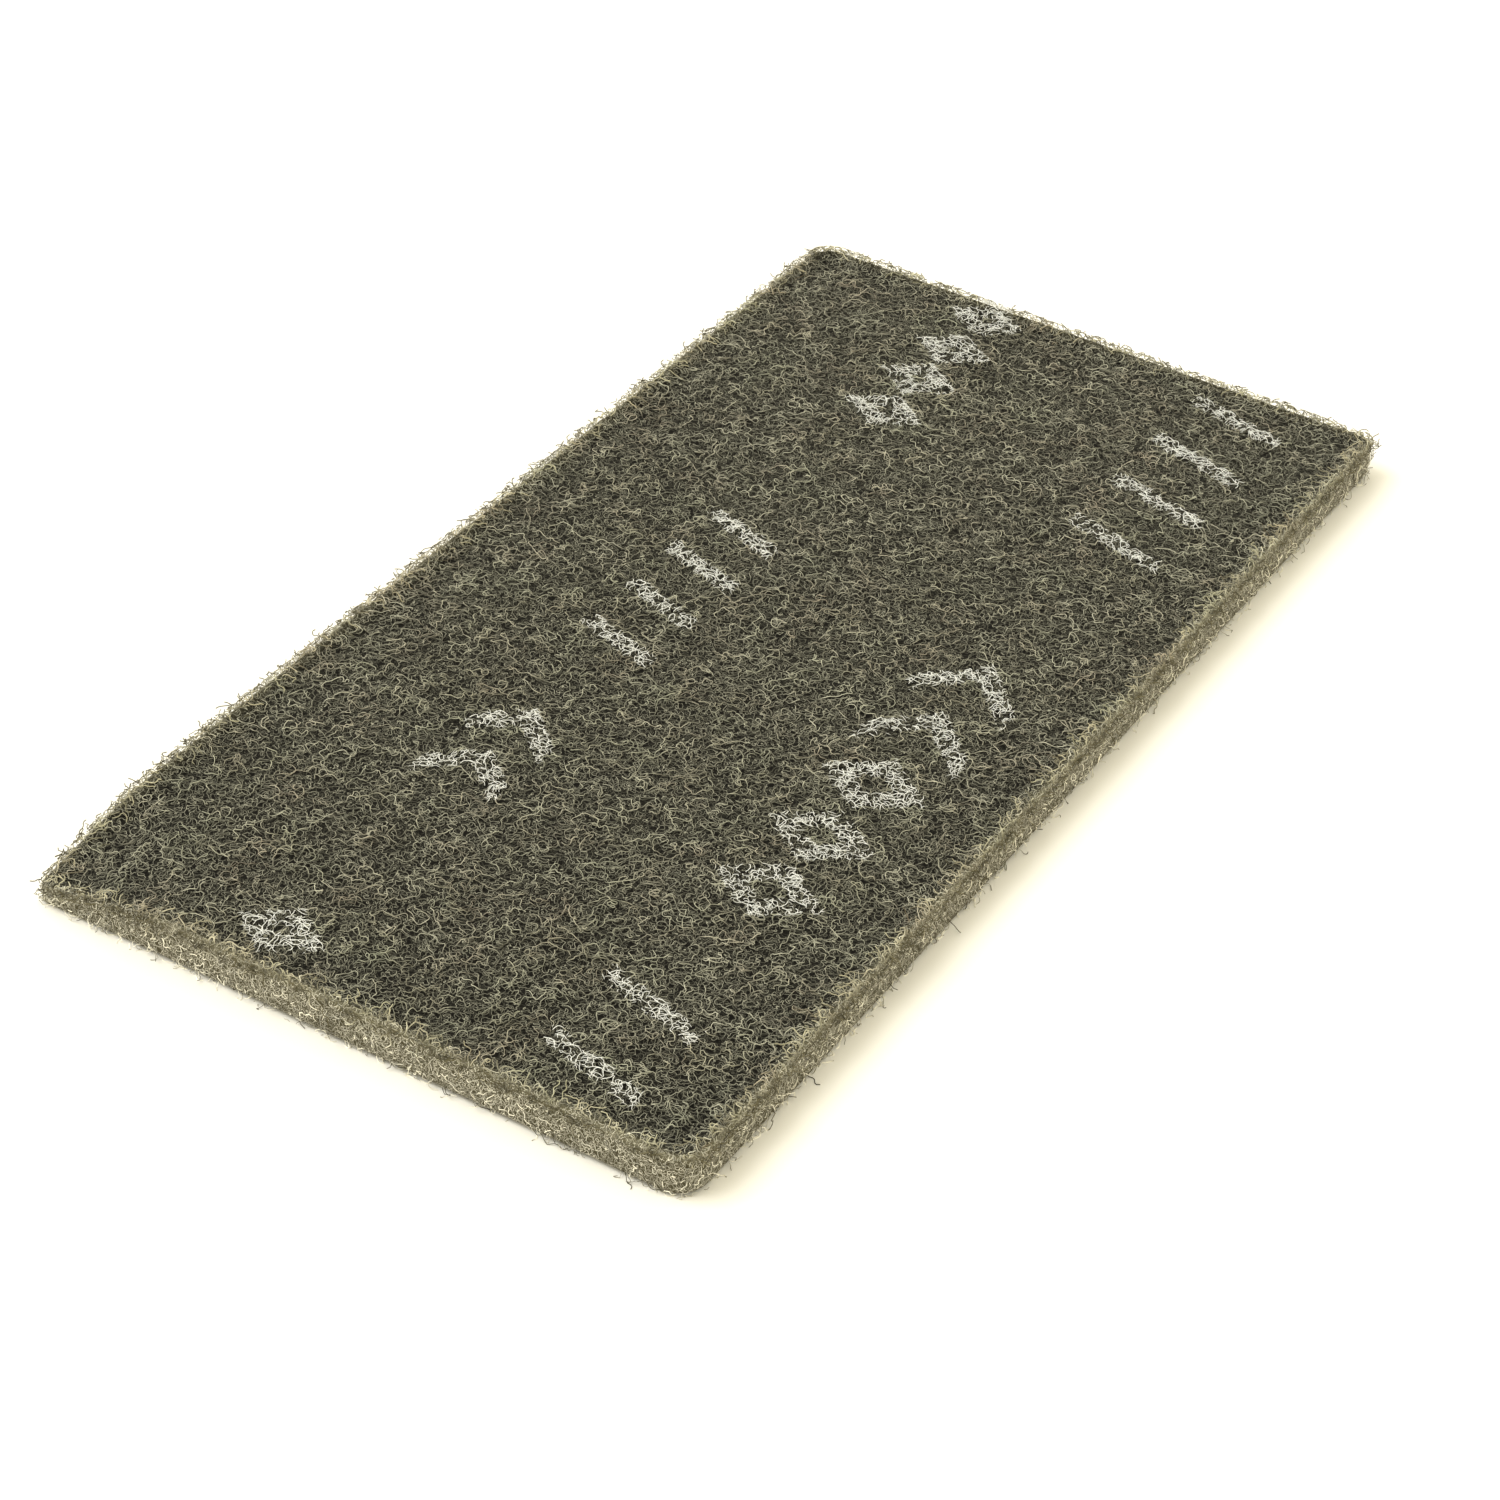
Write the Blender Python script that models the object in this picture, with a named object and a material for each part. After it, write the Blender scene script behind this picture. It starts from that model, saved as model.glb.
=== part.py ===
"""Hand pad of nonwoven abrasive web, a single die-cut piece of lofted nylon fibre.

The pad lies flat. X runs along its length, Y across its width and Z up. The origin is the
centre of the underside. All sizes are in metres.
"""

import math

import bmesh
import bpy
from mathutils import Vector, noise

# The pad's outline and section
PAD_LENGTH = 0.230
PAD_WIDTH = 0.115
PAD_THICKNESS = 0.0075
CORNER_RADIUS = 0.005
TIGHT_CORNER_RADIUS = 0.0018
TOP_ROUND = 0.0012
BOTTOM_ROUND = 0.0008
ROUND_SHARE_OF_WALL = 0.45
CORNER_SEGMENTS = 5
ROUND_SEGMENTS = 3

# The loft of the upper face, which rises to the full thickness at its highest tufts
TUFT_PITCH = 0.0068
TUFT_DEPTH = 0.0006
FINE_TUFT_RATIO = 2.3
FINE_TUFT_SHARE = 0.45
FACET = 0.0038
WELD = 0.00002

# The corner that handling has pinched thin
PINCH_REACH = 0.026
PINCH_SHARE = 0.56
PINCH_SHAPE = 1.3

# The print, white ink on the highest fibres in two rows along the pad
INK_BUILD = 0.00015
STROKE = 0.0032
UPPER_ROW_FROM_EDGE = 0.0388
UPPER_MARK_HEIGHT = 0.0150
UPPER_MARK_PITCH = 0.0128
LOWER_ROW_FROM_EDGE = 0.0231
LOWER_MARK_HEIGHT = 0.0185
LOWER_MARK_PITCH = 0.0158
MARK_GAP = 0.0016
LEAN = 0.0050
ROW_START = 0.0025
WORD_GAP = 0.0165
BLOCK_GAP = 0.0355

# Finishes
WEB_COLOUR = "65614F"
INK_COLOUR = "E4E4DE"
WEB_ROUGHNESS = 0.85
INK_ROUGHNESS = 0.60
NOT_METAL = 0.0


def linear(hex_colour):
    """Turn an sRGB hex colour into linear red, green, blue and alpha."""
    channels = [int(hex_colour[i:i + 2], 16) / 255 for i in (0, 2, 4)]
    return [c / 12.92 if c <= 0.04045 else ((c + 0.055) / 1.055) ** 2.4 for c in channels] + [1.0]


def finish(name, hex_colour, roughness):
    """A material with one colour and roughness."""
    material = bpy.data.materials.new(name)
    material.use_nodes = True
    shader = material.node_tree.nodes["Principled BSDF"]
    shader.inputs["Base Color"].default_value = linear(hex_colour)
    shader.inputs["Roughness"].default_value = roughness
    shader.inputs["Metallic"].default_value = NOT_METAL
    return material


def at_height(edge, height):
    """True for an edge that lies level at one height."""
    return all(abs(vert.co.z - height) < WELD for vert in edge.verts)


def round_edges(bm, edges, radius, segments):
    """Round the edges to a radius."""
    bmesh.ops.bevel(bm, geom=edges, offset=radius, offset_type="OFFSET", segments=segments,
                    profile=0.5, affect="EDGES", clamp_overlap=False)


def cut_slab(bm):
    """The blank that the die leaves: a slab with soft rims, tighter at two opposite corners."""
    bmesh.ops.create_cube(bm, size=1.0)
    bmesh.ops.scale(bm, verts=bm.verts, vec=(PAD_LENGTH, PAD_WIDTH, PAD_THICKNESS))
    bmesh.ops.translate(bm, verts=bm.verts, vec=(0, 0, PAD_THICKNESS / 2))
    for side, radius in ((1, CORNER_RADIUS), (-1, TIGHT_CORNER_RADIUS)):
        upright = [edge for edge in bm.edges
                   if abs(edge.verts[0].co.z - edge.verts[1].co.z) > WELD
                   and edge.verts[0].co.x * edge.verts[0].co.y * side > 0]
        round_edges(bm, upright, radius, CORNER_SEGMENTS)
    wall_limit = PAD_THICKNESS * ROUND_SHARE_OF_WALL
    top_rim = [edge for edge in bm.edges if at_height(edge, PAD_THICKNESS)]
    round_edges(bm, top_rim, min(TOP_ROUND, wall_limit), ROUND_SEGMENTS)
    bottom_rim = [edge for edge in bm.edges if at_height(edge, 0)]
    round_edges(bm, bottom_rim, min(BOTTOM_ROUND, wall_limit), ROUND_SEGMENTS)


def cut_along(bm, faces, point, normal):
    """Cut the given faces where a plane crosses them."""
    edges = {edge for face in faces for edge in face.edges}
    verts = {vert for face in faces for vert in face.verts}
    bmesh.ops.bisect_plane(bm, geom=list(faces) + list(edges) + list(verts), dist=WELD,
                           plane_co=point, plane_no=normal)


def cut_into_facets(bm):
    """Cut every face but the underside into facets small enough to follow the tufts."""
    for axis, size in ((Vector((1, 0, 0)), PAD_LENGTH), (Vector((0, 1, 0)), PAD_WIDTH)):
        steps = int(size / 2 / FACET)
        for step in range(-steps, steps + 1):
            raised = [face for face in bm.faces if face.calc_center_median().z > WELD]
            cut_along(bm, raised, axis * step * FACET, axis)


def slanted_bar(x, y, width, height):
    """The corners of a leaning bar."""
    lean = LEAN / 2
    half = STROKE / 2
    up = height / 2
    return [[(x - lean - half, y - up), (x - lean + half, y - up),
             (x + lean + half, y + up), (x + lean - half, y + up)]]


def chevron(x, y, width, height):
    """The corners of an arrowhead's two leaning arms, each a stroke wide."""
    tail = x - width / 2
    tip = x + width / 2
    rise = height / 2
    slope = STROKE / rise
    reach = math.sqrt(width ** 2 + rise ** 2 - STROKE ** 2)
    across = slope * (reach - slope * width) / (1 - slope ** 2)
    return [[(tail, y + up), (tail + across, y + up), (tip, y), (tip - across, y)]
            for up in (-rise, rise)]


def open_diamond(x, y, width, height):
    """The corners of the four mitred sides of a diamond with an open middle."""
    a = width / 2
    b = height / 2
    inner = 1 - STROKE * math.hypot(a, b) / (a * b)
    tips = [(a, 0), (0, b), (-a, 0), (0, -b), (a, 0)]
    rings = [[(x + share * dx, y + share * dy) for dx, dy in tips] for share in (1, inner)]
    return [[rings[0][i], rings[0][i + 1], rings[1][i + 1], rings[1][i]] for i in range(4)]


def row_of_marks(y, height, pitch, groups):
    """The corners of every field in a row of groups, each a gap, a shape and a count."""
    fields = []
    x = ROW_START - PAD_LENGTH / 2
    for gap, shape, count in groups:
        x += gap
        for _ in range(count):
            fields += shape(x + pitch / 2, y, pitch - MARK_GAP, height)
            x += pitch
    return fields


def printed_fields():
    """The corners of all the printed fields, each a convex patch of the upper face."""
    upper = [(0, open_diamond, 1), (BLOCK_GAP, chevron, 2), (WORD_GAP, slanted_bar, 4),
             (BLOCK_GAP, open_diamond, 4)]
    lower = [(0, slanted_bar, 2), (WORD_GAP, open_diamond, 3), (0, chevron, 2),
             (BLOCK_GAP, slanted_bar, 4)]
    return (row_of_marks(PAD_WIDTH / 2 - UPPER_ROW_FROM_EDGE, UPPER_MARK_HEIGHT,
                         UPPER_MARK_PITCH, upper)
            + row_of_marks(LOWER_ROW_FROM_EDGE - PAD_WIDTH / 2, LOWER_MARK_HEIGHT,
                           LOWER_MARK_PITCH, lower))


def sides_of(corners):
    """A point and an outward direction for each side of a field."""
    middle = sum((Vector(corner) for corner in corners), Vector((0, 0))) / len(corners)
    sides = []
    for start, end in zip(corners, corners[1:] + corners[:1]):
        along = Vector(end) - Vector(start)
        out = Vector((along.y, -along.x)).normalized()
        if out.dot(Vector(start) - middle) < 0:
            out = -out
        sides.append((Vector((*start, PAD_THICKNESS)), Vector((*out, 0))))
    return sides


def level_faces(bm, sides, margin):
    """The level faces of the upper side whose centres lie within a margin of a field."""
    return [face for face in bm.faces if face.normal.z > 1 - WELD
            and all((face.calc_center_median() - point).dot(out) < margin for point, out in sides)]


def print_marks(bm):
    """Cut the printed fields into the upper face and raise them by the ink's build."""
    fields = [sides_of(corners) for corners in printed_fields()]
    for sides in fields:
        for point, out in sides:
            cut_along(bm, level_faces(bm, sides, FACET), point, out)
            bm.normal_update()
    printed = list({face for sides in fields for face in level_faces(bm, sides, 0)})
    made = bmesh.ops.extrude_face_region(bm, geom=printed)["geom"]
    bmesh.ops.delete(bm, geom=printed, context="FACES")
    for item in made:
        if isinstance(item, bmesh.types.BMFace):
            item.material_index = 1
        if isinstance(item, bmesh.types.BMVert):
            item.co.z += INK_BUILD


def tuft_drop(x, y):
    """How far the upper face lies below the highest tufts at a point."""
    coarse = noise.noise(Vector((x, y, 0)) / TUFT_PITCH)
    fine = noise.noise(Vector((x, y, 0)) / TUFT_PITCH * FINE_TUFT_RATIO)
    height = (coarse + FINE_TUFT_SHARE * fine) / (1 + FINE_TUFT_SHARE)
    return TUFT_DEPTH * (1 - height) / 2


def height_left(x, y):
    """The share of its height that the web keeps at a point, less toward the pinched corner."""
    away = math.hypot(x + PAD_LENGTH / 2, y - PAD_WIDTH / 2)
    return 1 - PINCH_SHARE * max(1 - away / PINCH_REACH, 0) ** PINCH_SHAPE


def loft(bm):
    """Let the upper face rise and fall in soft tufts, fading out down the cut sides."""
    half = PAD_THICKNESS / 2
    for vert in bm.verts:
        share = min(max((vert.co.z - half) / half, 0), 1)
        vert.co.z -= share * tuft_drop(vert.co.x, vert.co.y)
        vert.co.z *= height_left(vert.co.x, vert.co.y)


def fibre_web():
    """The whole pad: one body of fibre with its print."""
    bm = bmesh.new()
    cut_slab(bm)
    cut_into_facets(bm)
    bm.normal_update()
    print_marks(bm)
    loft(bm)
    bmesh.ops.recalc_face_normals(bm, faces=bm.faces)
    mesh = bpy.data.meshes.new("fibre_web")
    bm.to_mesh(mesh)
    bm.free()
    mesh.materials.append(finish("resin_bonded_nylon_web", WEB_COLOUR, WEB_ROUGHNESS))
    mesh.materials.append(finish("white_printing_ink", INK_COLOUR, INK_ROUGHNESS))
    web = bpy.data.objects.new("fibre_web", mesh)
    bpy.context.scene.collection.objects.link(web)
    return web


for old in list(bpy.data.objects):
    bpy.data.objects.remove(old, do_unlink=True)
fibre_web()
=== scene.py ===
"""Looks of a nonwoven abrasive hand pad: its web fibre by fibre, print, floor, light and camera.

Laid out as a Blender add-on and run as a script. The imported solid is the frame, and the pad's
length, width and thickness are read from it. The roundings, the pinched corner and the printed
marks repeat the solid's own sizes. Sizes are in metres.
"""

import math
from functools import partial

import bmesh
import bpy
from bpy.props import FloatProperty, FloatVectorProperty, PointerProperty
from mathutils import Matrix, Vector


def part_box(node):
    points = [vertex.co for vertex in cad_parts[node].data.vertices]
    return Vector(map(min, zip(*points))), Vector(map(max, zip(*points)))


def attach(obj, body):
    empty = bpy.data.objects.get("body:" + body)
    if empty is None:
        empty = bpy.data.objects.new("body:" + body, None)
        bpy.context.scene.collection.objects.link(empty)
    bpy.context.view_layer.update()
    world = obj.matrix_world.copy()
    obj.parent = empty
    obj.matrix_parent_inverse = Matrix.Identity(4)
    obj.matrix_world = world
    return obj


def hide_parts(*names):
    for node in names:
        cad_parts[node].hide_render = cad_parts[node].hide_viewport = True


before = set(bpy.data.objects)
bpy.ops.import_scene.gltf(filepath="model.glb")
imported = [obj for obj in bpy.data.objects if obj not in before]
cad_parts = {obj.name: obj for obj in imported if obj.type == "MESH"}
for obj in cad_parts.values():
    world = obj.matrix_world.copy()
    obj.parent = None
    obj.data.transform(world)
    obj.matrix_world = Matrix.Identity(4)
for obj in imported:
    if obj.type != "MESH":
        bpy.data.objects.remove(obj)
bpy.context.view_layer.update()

bl_info = {
    "name": "Nonwoven Abrasive Hand Pad",
    "version": (1, 0, 0),
    "blender": (4, 5, 0),
    "location": "3D View > Sidebar > Hand Pad",
    "description": "Builds a lofted fibre hand pad with its print, stage and camera",
    "category": "Add Mesh",
}

NODE = "fibre_web"
BODY = "root"
MM = 0.001

# The frame's own sizes
LOW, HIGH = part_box(NODE)
PAD_LENGTH = HIGH.x - LOW.x
PAD_WIDTH = HIGH.y - LOW.y
PAD_THICKNESS = HIGH.z - LOW.z

# The outline that the die cuts and the soft upper rim, as the solid has them
CORNER_RADIUS = 5.0 * MM
TIGHT_CORNER_RADIUS = 1.8 * MM
TOP_ROUND = 1.2 * MM

# The corner that handling has pinched thin, as the solid has it
PINCHED_CORNER = Vector((-PAD_LENGTH / 2, PAD_WIDTH / 2, 0.0))
PINCH_REACH = 26.0 * MM
PINCH_SHARE = 0.56
PINCH_SHAPE = 1.3

# The print's two rows, as the solid has them
STROKE = 3.2 * MM
UPPER_ROW_FROM_EDGE = 38.8 * MM
UPPER_MARK_HEIGHT = 15.0 * MM
UPPER_MARK_PITCH = 12.8 * MM
LOWER_ROW_FROM_EDGE = 23.1 * MM
LOWER_MARK_HEIGHT = 18.5 * MM
LOWER_MARK_PITCH = 15.8 * MM
MARK_GAP = 1.6 * MM
LEAN = 5.0 * MM
ROW_START = 2.5 * MM
WORD_GAP = 16.5 * MM
BLOCK_GAP = 35.5 * MM

# The photograph's view: angles in degrees, target in the pad's frame
VIEW_AZIMUTH = -61.19
VIEW_ELEVATION = 36.95
VIEW_ROLL = 4.21
VIEW_TARGET = Vector((-20.5, -9.7, 0.0)) * MM

# Kinds of node
MATH = "ShaderNodeMath"
VECTOR_MATH = "ShaderNodeVectorMath"
COMBINE = "ShaderNodeCombineXYZ"
SEPARATE = "ShaderNodeSeparateXYZ"
NOISE = "ShaderNodeTexNoise"
RANGE = "ShaderNodeMapRange"
STORE = "GeometryNodeStoreNamedAttribute"
READ = "GeometryNodeInputNamedAttribute"
CHANCE = "FunctionNodeRandomValue"
SUM = "GeometryNodeAccumulateField"
TURN = "FunctionNodeRotateVector"
PLACE = "GeometryNodeInputPosition"

# This kind has its colours at sockets 6 and 7, and their mix at output 2
MIX = "ShaderNodeMix"


def linear(hex_colour):
    """Turn an sRGB hex colour into linear red, green, blue and alpha."""
    channels = [int(hex_colour[i:i + 2], 16) / 255 for i in (0, 2, 4)]
    return [c / 12.92 if c <= 0.04045 else ((c + 0.055) / 1.055) ** 2.4 for c in channels] + [1.0]


def size(name, description, default):
    """A length that the sidebar shows in the scene's unit."""
    return FloatProperty(name=name, description=description, default=default, unit="LENGTH",
                         precision=5, min=0.0)


def swatch(name, description, hex_colour):
    """A colour that the sidebar shows as a swatch."""
    return FloatVectorProperty(name=name, description=description, subtype="COLOR", size=4,
                               min=0.0, max=1.0, default=linear(hex_colour))


class HandPadWeb(bpy.types.PropertyGroup):
    """Sizes of the web and its fibres."""

    fibre: size("Fibre", "Thickness of one resin coated fibre", 0.12 * MM)
    step: size("Step", "Length of the straight steps that a long fibre is made of", 0.5 * MM)
    crimp: size("Crimp", "Length of one crimp along a fibre", 2.1 * MM)
    ripple: size("Ripple", "Length of one rise and fall along a fibre", 3.1 * MM)
    loop_radius: size("Loop radius", "Tightest lasting curl of a fibre", 1.3 * MM)
    swing: FloatProperty(name="Swing", description="How far the crimps turn a fibre from side to side",
                         default=7.5, subtype="ANGLE")
    fray: size("Fray", "How far the loosest fibres stand out of the cut sides", 1.0 * MM)
    shell: size("Shell", "Depth of the face that is drawn fibre by fibre", 0.9 * MM)
    rim: size("Rim", "Width of the lighter band round the face", 3.5 * MM)


class HandPadFinish(bpy.types.PropertyGroup):
    """Colours of the fibres and the print."""

    fibre: swatch("Fibre", "Resin and grit on the upper fibres", "B2B2A2")
    warm: swatch("Warm mottle", "Where the resin lies thick", "9A8775")
    cool: swatch("Cool mottle", "Where the resin lies thin", "959B85")
    # Partly painted light: the pale cut colour stands both for the cut nylon and for the light that
    # shines through the translucent fibres and up from the floor
    cut: swatch("Cut fibre", "Bare nylon at the cut sides", "EEEBDC")
    fuzz: swatch("Fuzz", "Loose fibres along the upper rim", "A8A488")
    stray: swatch("Stray fibre", "Loose fibres that stand out of the sides", "57523C")
    ink: swatch("Ink", "White printing ink", "F3F6F5")
    # Painted shade: these two darks fill the gaps between the fibres, under the face and at the cut
    # sides, for the shade deep in the web
    shade: swatch("Depth", "The dark between the fibres", "0A0907")
    cut_shade: swatch("Cut depth", "The dark between the cut fibres", "4A4636")


class HandPadStage(bpy.types.PropertyGroup):
    """The floor, the lights and the camera."""

    floor: size("Floor", "Side of the square floor", 6.0)
    paper: swatch("Paper", "Colour of the floor", "F7F7F4")
    sky: FloatProperty(name="Sky light", description="Strength of the even light from all around",
                       default=1.16)
    sky_colour: swatch("Sky colour", "Colour of the even light", "FFF6DC")
    key: FloatProperty(name="Key light", description="Strength of the soft light from behind the left",
                       default=1.75)
    key_softness: FloatProperty(name="Softness", description="Angle that the key light fills",
                                default=math.radians(40), subtype="ANGLE")
    distance: size("Distance", "From the camera to the point it looks at", 0.6208)
    lens: FloatProperty(name="Lens", description="Focal length of the camera", default=93.48,
                        unit="CAMERA")


def add(tree, kind, *values, out=0, sockets=None, **settings):
    """Add a node with its settings and links, and return one output, or the node for out=None."""
    node = tree.nodes.new(kind)
    for name, value in settings.items():
        setattr(node, name, value)
    for key, value in [*enumerate(values), *(sockets or {}).items()]:
        if isinstance(value, bpy.types.NodeSocket):
            tree.links.new(value, node.inputs[key])
        elif value is not None:
            node.inputs[key].default_value = value
    return node if out is None else node.outputs[out]


# The die's outline and the pinched corner, in plain numbers and in nodes

def distance_out(x, y):
    """The distance outside the die's outline, with two corners rounder than the others."""
    radius = CORNER_RADIUS if x * y > 0 else TIGHT_CORNER_RADIUS
    past = [abs(x) - PAD_LENGTH / 2 + radius, abs(y) - PAD_WIDTH / 2 + radius]
    corner = math.hypot(max(past[0], 0.0), max(past[1], 0.0))
    return corner + min(max(past), 0.0) - radius


def height_share(x, y):
    """The share of its height that the web keeps at a point, less toward the pinched corner."""
    away = (Vector((x, y, 0.0)) - PINCHED_CORNER).length
    return 1 - PINCH_SHARE * max(1 - away / PINCH_REACH, 0.0) ** PINCH_SHAPE


def distance_out_nodes(put, x, y):
    """The nodes that work out the distance outside the die's outline."""
    round_corner = put(MATH, put(MATH, x, y, operation="MULTIPLY"), 0.0, operation="GREATER_THAN")
    radius = put(RANGE, round_corner, 0.0, 1.0, TIGHT_CORNER_RADIUS, CORNER_RADIUS)
    beyond = []
    for value, side in ((x, PAD_LENGTH), (y, PAD_WIDTH)):
        past = put(MATH, put(MATH, value, operation="ABSOLUTE"), side / 2, operation="SUBTRACT")
        beyond.append(put(MATH, past, radius, operation="ADD"))
    corner = put(COMBINE, *[put(MATH, past, 0.0, operation="MAXIMUM") for past in beyond])
    corner = put(VECTOR_MATH, corner, out="Value", operation="LENGTH")
    inside = put(MATH, put(MATH, *beyond, operation="MAXIMUM"), 0.0, operation="MINIMUM")
    return put(MATH, put(MATH, corner, inside, operation="ADD"), radius, operation="SUBTRACT")


def height_share_nodes(put, x, y):
    """The nodes that work out the share of its height that the web keeps."""
    away = put(VECTOR_MATH, put(COMBINE, x, y), PINCHED_CORNER, out="Value", operation="DISTANCE")
    near = put(MATH, put(RANGE, away, 0.0, PINCH_REACH, 1.0, 0.0), PINCH_SHAPE, operation="POWER")
    return put(MATH, near, -PINCH_SHARE, 1.0, operation="MULTIPLY_ADD")


# Fibres of the web, grown from a guide surface by one tree of geometry nodes

FIBRE_INPUTS = {
    "Guide": ("NodeSocketGeometry", None),
    "Frame solid": ("NodeSocketObject", None),
    "Print guide": ("NodeSocketObject", None),
    "Material": ("NodeSocketMaterial", None),
    "Density": ("NodeSocketFloat", 100.0),
    "Seed": ("NodeSocketInt", 0),
    "Steps": ("NodeSocketInt", 24),
    "Step length": ("NodeSocketFloat", 0.58 * MM),
    "Crimp": ("NodeSocketFloat", 1.7 * MM),
    "Swing": ("NodeSocketFloat", 3.0),
    "Bend": ("NodeSocketFloat", 900.0),
    "Climb": ("NodeSocketFloat", 0.0),
    "Ripple": ("NodeSocketFloat", 3.0 * MM),
    "Lift": ("NodeSocketFloat", 0.15 * MM),
    "Depth from": ("NodeSocketFloat", 0.0),
    "Depth to": ("NodeSocketFloat", 0.5 * MM),
    "Dive": ("NodeSocketFloat", 0.5 * MM),
    "Sink": ("NodeSocketFloat", 0.0),
    "Stand": ("NodeSocketFloat", 0.5 * MM),
    "Fray": ("NodeSocketFloat", 0.3 * MM),
    "Radius": ("NodeSocketFloat", 0.1 * MM),
    "Ink depth": ("NodeSocketFloat", 0.0),
    "Rim": ("NodeSocketFloat", 3.5 * MM),
    "Rim tint": ("NodeSocketFloat", 0.4),
    "Rim depth": ("NodeSocketFloat", 1.0),
    "Side tint": ("NodeSocketFloat", 1.0),
}

# What is random about each fibre, with its range, in the order that it is drawn
WHIMS = {
    "crimp start": (0, 900),
    "curl": (-1, 1),
    "yaw": (0, math.tau),
    "climb": (-1, 1),
    "phase": (0, math.tau),
    "layer": (0, 1),
    "looseness": (0, 1),
    "tone": (0, 1),
    "girth": (0.85, 1.15),
}

# Seeds are tried in a crowd, and kept where they lie this share of their mean spacing apart
CROWDING = 12.0
EVEN_SPACING = 0.83

# How suddenly a fibre's ends dive
DIVE_POWER = 4.0

# More pieces than the die cuts any fibre into, and the points that a piece needs more than
MOST_PIECES = 64.0
TOO_FEW_POINTS = 2.5

# Distances past the outline between which the fibres come to lie shallower
SHALLOW_FROM = -3.6 * MM
SHALLOW_TO = -0.6 * MM

# Depths below the top between which the colour of the cut sides comes in, so the sides grow paler
# lower down, partly painted light for the light that comes up from the floor
CUT_FROM = 1.3 * MM
CUT_TO = 3.2 * MM

# Fibres are free of the web between these distances past the outline, and over the upper rim
# sooner, between these depths below the top
FREE_FROM = 0.45 * MM
FREE_TO = 1.0 * MM
OVER_RIM_FROM = -0.6 * MM
OVER_RIM_TO = 0.1 * MM
OVER_RIM_LOW = 2.4 * MM
OVER_RIM_HIGH = 1.0 * MM

# The size of the print's ragged edge, how near a field a fibre takes ink, and how much the ink
# adds to its thickness
RAGGED = 1.1 * MM
INK_REACH = 0.3 * MM
INK_BUILD = 0.4

# The flat map is laid over a square this much longer than the pad
MAP_MARGIN = 1.1


def scatter(put, given):
    """Points on the guide, one for each step of each fibre, still at the fibre's seed."""
    root = put(MATH, given["Density"], operation="SQRT")
    apart = put(MATH, EVEN_SPACING, root, operation="DIVIDE")
    crowd = put(MATH, given["Density"], CROWDING, operation="MULTIPLY")
    seeds = put("GeometryNodeDistributePointsOnFaces", given["Guide"], out=None,
                sockets={"Distance Min": apart, "Density Max": crowd, "Seed": given["Seed"]},
                distribute_method="POISSON").outputs
    number = put("GeometryNodeInputIndex")
    points = put(STORE, seeds["Points"], None, "fibre", number, data_type="INT")
    points = put(STORE, points, None, "upright", seeds["Rotation"], data_type="QUATERNION")
    copies = put("GeometryNodeDuplicateElements", points, out=None, domain="POINT",
                 sockets={"Amount": given["Steps"]}).outputs
    return put(STORE, copies["Geometry"], None, "step", copies["Duplicate Index"], data_type="INT")


def draw_whims(put, given, fibre):
    """One random number for each of a fibre's whims."""
    whims = {}
    for turn, (name, (low, high)) in enumerate(WHIMS.items(), start=1):
        seed = put(MATH, given["Seed"], float(turn), operation="ADD")
        # The node's sockets for floats are 2 and 3, and those for the ID and the seed 7 and 8
        whims[name] = put(CHANCE, out=1, sockets={2: low, 3: high, 7: fibre, 8: seed},
                          data_type="FLOAT")
    return whims


def walk(put, given, whims, fibre, run):
    """How far a fibre has come from its seed, turning with its own curl and its crimps."""
    crimps = put(MATH, run, given["Crimp"], operation="DIVIDE")
    crimps = put(MATH, crimps, whims["crimp start"], operation="ADD")
    crimp = put(NOISE, sockets={"W": crimps, "Scale": 1.0, "Detail": 1.0}, noise_dimensions="1D")
    crimp = put(MATH, crimp, 0.5, operation="SUBTRACT")
    crimp = put(MATH, crimp, given["Swing"], operation="MULTIPLY")
    curl = put(MATH, whims["curl"], given["Bend"], operation="MULTIPLY")
    curl = put(MATH, curl, run, whims["yaw"], operation="MULTIPLY_ADD")
    heading = put(MATH, crimp, curl, operation="ADD")
    climb = put(MATH, whims["climb"], given["Climb"], operation="MULTIPLY")
    level_share = put(MATH, climb, operation="COSINE")
    level = [put(MATH, put(MATH, heading, operation=way), level_share, operation="MULTIPLY")
             for way in ("COSINE", "SINE")]
    stride = put(COMBINE, *level, put(MATH, climb, operation="SINE"))
    stride = put(VECTOR_MATH, stride, sockets={"Scale": given["Step length"]}, operation="SCALE")
    return put(SUM, stride, fibre, data_type="FLOAT_VECTOR", domain="POINT")


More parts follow.
